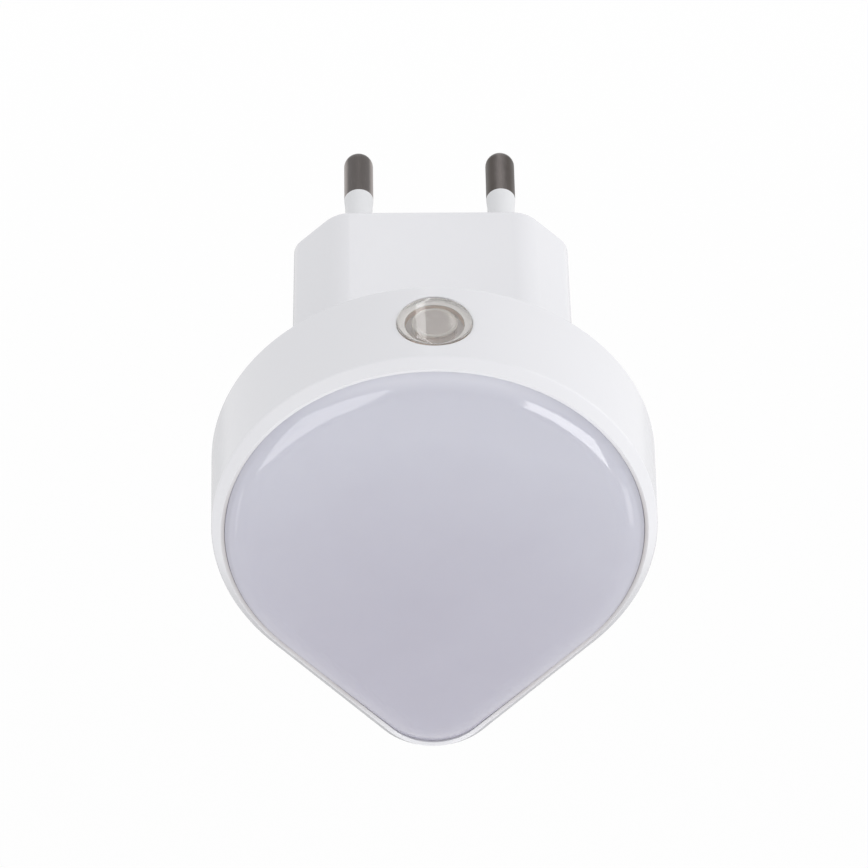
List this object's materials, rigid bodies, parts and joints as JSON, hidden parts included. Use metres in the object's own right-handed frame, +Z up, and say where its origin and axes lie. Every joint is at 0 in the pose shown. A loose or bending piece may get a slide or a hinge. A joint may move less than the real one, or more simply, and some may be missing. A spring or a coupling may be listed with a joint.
{
  "type": "plug-in night light",
  "caption": "Drop-shaped plug-in night light with an opal front, a dusk-sensor window on top and a two-pin round-pin plug moulded into its back.",
  "frame": {"origin": "midway between the two pins, on the plug body's engagement face", "axes": "+Y along the pins into the socket, +X to the right seen from the room, +Z up with the sensor on top"},
  "size_m": [0.0568, 0.0636, 0.0659],
  "materials": {
    "white_shell": "glossy moulded white plastic",
    "opal_diffuser": "glossy opal plastic",
    "nickel_pin": "nickel-plated brass, dull",
    "pin_sleeve": "satin white insulation",
    "clear_window": "clear plastic",
    "sensor_body": "dark clear epoxy",
    "boot_silicone": "tan silicone",
    "screw_steel": "zinc-plated",
    "board_white": "white solder resist on glass-fibre board",
    "board_green": "green solder resist on glass-fibre board",
    "led_case": "white case with yellow phosphor",
    "chip_black": "moulded black epoxy",
    "retainer_plastic": "natural white plastic",
    "contact_brass": "plain brass strip",
    "capacitor_box": "yellow box filled with epoxy",
    "capacitor_sleeve": "dark shrunk sleeve",
    "resistor_body": "grey-green coated body",
    "diode_glass": "glass body"
  },
  "bodies": {
    "root": {"pin_left": "nickel_pin", "pin_right": "nickel_pin", "pin_sleeve_left": "pin_sleeve", "pin_sleeve_right": "pin_sleeve", "rear_cover": "white_shell", "housing_ring": "white_shell", "case_screws": "screw_steel", "diffuser": "opal_diffuser", "sensor_window": "clear_window", "light_sensor": "sensor_body", "sensor_boot": "boot_silicone", "lamp_board": "board_white", "lamp_board_screws": "screw_steel", "leds": "led_case", "control_chip": "chip_black", "pin_retainer": "retainer_plastic", "retainer_screw": "screw_steel", "contact_strip_left": "contact_brass", "contact_strip_right": "contact_brass", "driver_board": "board_green", "dropper_capacitor": "capacitor_box", "smoothing_capacitor": "capacitor_sleeve", "fuse_resistor": "resistor_body", "bridge_rectifier": "chip_black", "chip_resistors": "chip_black", "zener_diode": "diode_glass", "link_header": "chip_black"}
  },
  "joints": []
}
